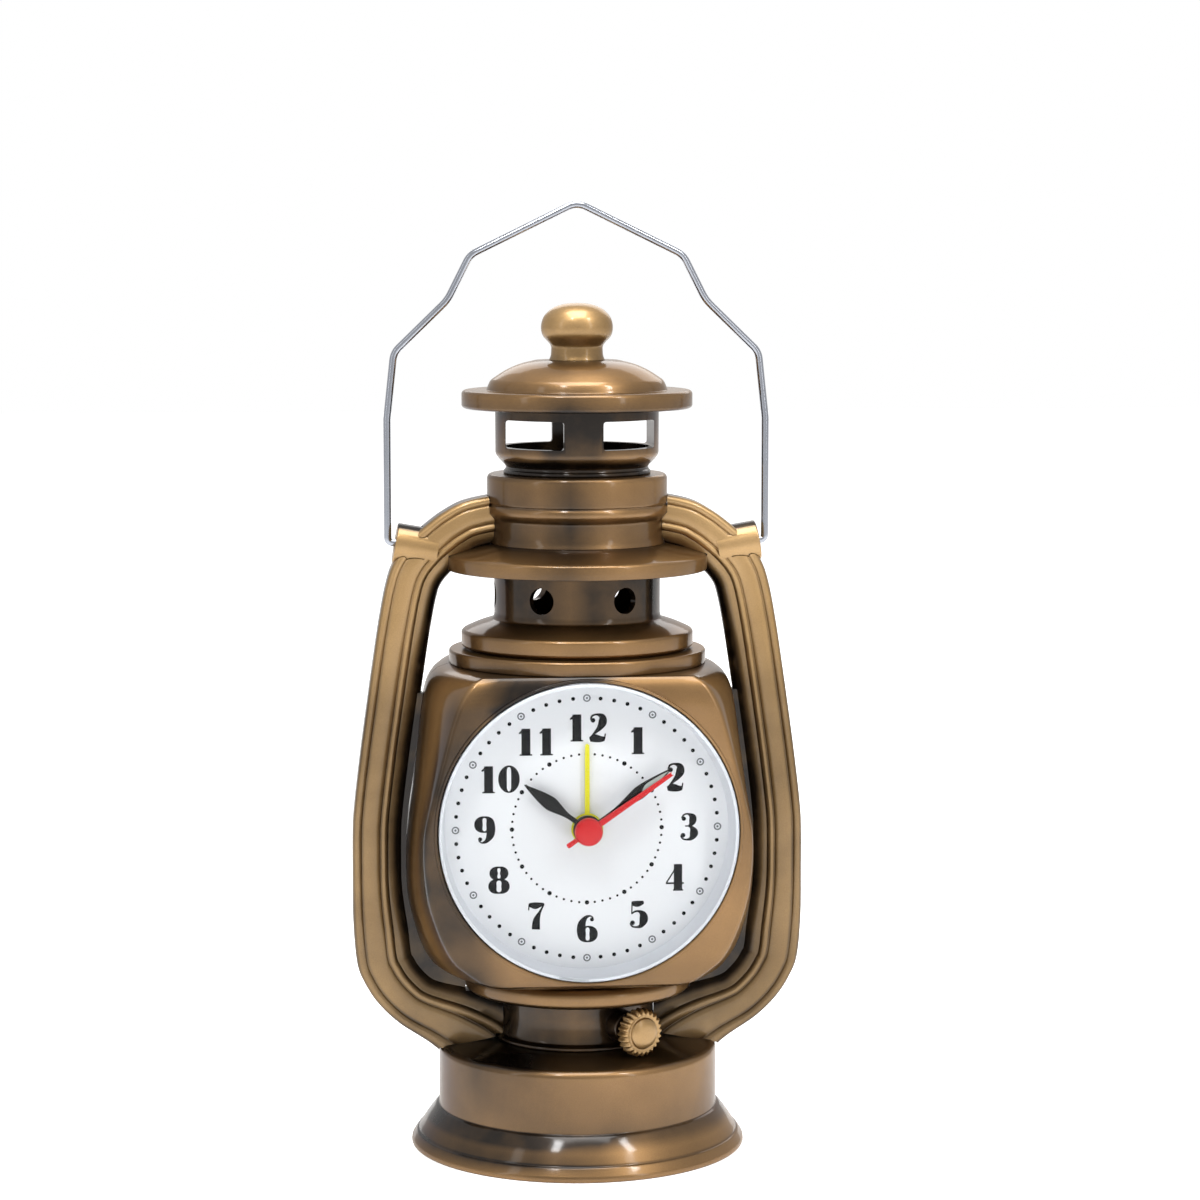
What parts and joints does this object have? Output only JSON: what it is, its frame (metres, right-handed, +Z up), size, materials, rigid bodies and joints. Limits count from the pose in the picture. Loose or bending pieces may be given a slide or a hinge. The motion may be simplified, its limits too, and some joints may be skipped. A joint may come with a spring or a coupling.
{
  "type": "oil lamp alarm clock",
  "caption": "Table alarm clock shaped like an old storm lantern, with a round dial in the globe, a vented chimney, side tubes, a wick knob and a swinging carrying wire.",
  "frame": {"origin": "centre of the underside of the tank, on the surface that the clock stands on", "axes": "+Z up, the dial faces -Y, +X to the right when seen from the front"},
  "size_m": [0.099, 0.0736, 0.2071],
  "materials": {
    "bronze_body": "two-tone antique bronze metallic lacquer with smoky brown shading",
    "gold_trim": "lighter gold bronze metallic lacquer",
    "chrome_wire": "bright chromed wire",
    "dial_white": "matt white printed card",
    "pale_ring": "satin pale grey",
    "clear_lens": "clear polished lens",
    "hand_black": "satin black",
    "hand_red": "satin red",
    "hand_yellow": "satin yellow",
    "black_plastic": "finely textured black plastic",
    "nylon": "natural moulded nylon",
    "steel": "plain plated steel",
    "copper": "enamelled copper winding",
    "board_green": "green circuit board",
    "cell_jacket": "plain printed battery jacket",
    "lead_black": "black insulation",
    "lead_red": "red insulation"
  },
  "bodies": {
    "lantern": {"tank_shell": "bronze_body", "base_plate": "black_plastic", "base_screw_1": "steel", "base_screw_2": "steel", "base_screw_3": "steel", "burner_neck": "bronze_body", "foot_ring": "bronze_body", "tie_bolt": "steel", "globe_front_shell": "bronze_body", "globe_rear_shell": "bronze_body", "shoulder_ring": "bronze_body", "vent_neck": "bronze_body", "chimney_skirt": "bronze_body", "chimney_collar": "bronze_body", "gallery": "bronze_body", "chimney_cap": "bronze_body", "finial": "gold_trim", "left_arm": "gold_trim", "right_arm": "gold_trim", "dial_plate": "dial_white", "dial_surround": "pale_ring", "dial_lens": "clear_lens", "movement_front_case": "black_plastic", "movement_middle_plate": "nylon", "movement_back_plate": "black_plastic", "stator": "steel", "coil": "copper", "circuit_board": "board_green", "movement_screw_1": "steel", "movement_screw_2": "steel", "rear_cover": "black_plastic", "cover_screw_1": "steel", "cover_screw_2": "steel", "cover_screw_3": "steel", "battery_tray": "black_plastic", "battery": "cell_jacket", "contact_negative": "steel", "contact_positive": "steel", "buzzer": "black_plastic", "lead_black": "lead_black", "lead_red": "lead_red"},
    "carrying_wire": {"bail": "chrome_wire"},
    "wick": {"wick_knob": "gold_trim"},
    "minute": {"minute_hand": "hand_black", "minute_pipe": "nylon"},
    "hour": {"hour_hand": "hand_black", "hour_wheel": "nylon"},
    "motion": {"motion_wheel": "nylon"},
    "time_set": {"time_set_knob": "black_plastic"},
    "second": {"second_hand": "hand_red", "second_wheel": "nylon"},
    "third": {"third_wheel": "nylon"},
    "centre": {"centre_wheel": "nylon"},
    "intermediate": {"intermediate_wheel": "nylon"},
    "motor": {"rotor": "nylon"},
    "alarm": {"alarm_hand": "hand_yellow", "alarm_wheel": "nylon"},
    "alarm_set": {"alarm_set_knob": "black_plastic"},
    "switch": {"alarm_switch": "black_plastic"},
    "door": {"battery_door": "black_plastic"}
  },
  "joints": [
    {"name": "bail_swing", "type": "hinge", "parent": "lantern", "child": "carrying_wire", "pos_m": [0, 0, 0.1332], "axis": [1, 0, 0], "range_deg": [-110, 110]},
    {"name": "wick_turn", "type": "hinge", "parent": "lantern", "child": "wick", "pos_m": [0, 0, 0.0288], "axis": [0.4848, -0.8746, 0], "continuous": true},
    {"name": "minute_turn", "type": "hinge", "parent": "lantern", "child": "minute", "pos_m": [0, 0, 0.074], "axis": [0, 1, 0], "continuous": true},
    {"name": "hour_turn", "type": "hinge", "parent": "lantern", "child": "hour", "pos_m": [0, 0, 0.074], "axis": [0, 1, 0], "continuous": true},
    {"name": "motion_turn", "type": "hinge", "parent": "lantern", "child": "motion", "pos_m": [-0.00771, 0, 0.0768], "axis": [0, 1, 0], "continuous": true},
    {"name": "time_set_turn", "type": "hinge", "parent": "lantern", "child": "time_set", "pos_m": [-0.01541, 0, 0.07961], "axis": [0, 1, 0], "continuous": true},
    {"name": "second_turn", "type": "hinge", "parent": "lantern", "child": "second", "pos_m": [0, 0, 0.074], "axis": [0, 1, 0], "continuous": true},
    {"name": "third_turn", "type": "hinge", "parent": "lantern", "child": "third", "pos_m": [0, 0, 0.08495], "axis": [0, 1, 0], "continuous": true},
    {"name": "centre_turn", "type": "hinge", "parent": "lantern", "child": "centre", "pos_m": [0, 0, 0.074], "axis": [0, 1, 0], "continuous": true},
    {"name": "intermediate_turn", "type": "hinge", "parent": "lantern", "child": "intermediate", "pos_m": [0, 0, 0.06545], "axis": [0, 1, 0], "continuous": true},
    {"name": "motor_turn", "type": "hinge", "parent": "lantern", "child": "motor", "pos_m": [0.0052, 0, 0.06025], "axis": [0, 1, 0], "continuous": true},
    {"name": "alarm_turn", "type": "hinge", "parent": "lantern", "child": "alarm", "pos_m": [0, 0, 0.074], "axis": [0, 1, 0], "continuous": true},
    {"name": "alarm_set_turn", "type": "hinge", "parent": "lantern", "child": "alarm_set", "pos_m": [0.01146, 0, 0.07817], "axis": [0, 1, 0], "continuous": true},
    {"name": "switch_slide", "type": "slide", "parent": "lantern", "child": "switch", "axis": [1, 0, 0], "range_m": [0, 0.004]},
    {"name": "door_slide", "type": "slide", "parent": "lantern", "child": "door", "axis": [0, 1, 0], "range_m": [0, 0.015]}
  ],
  "couplings": [
    {"joint": "hour_turn", "follows": "minute_turn", "ratio": 0.083333},
    {"joint": "motion_turn", "follows": "minute_turn", "ratio": -0.33333},
    {"joint": "time_set_turn", "follows": "minute_turn", "ratio": 1},
    {"joint": "third_turn", "follows": "second_turn", "ratio": -0.13333},
    {"joint": "centre_turn", "follows": "second_turn", "ratio": 0.016667},
    {"joint": "intermediate_turn", "follows": "second_turn", "ratio": -6},
    {"joint": "motor_turn", "follows": "second_turn", "ratio": 30},
    {"joint": "alarm_set_turn", "follows": "alarm_turn", "ratio": -1}
  ]
}
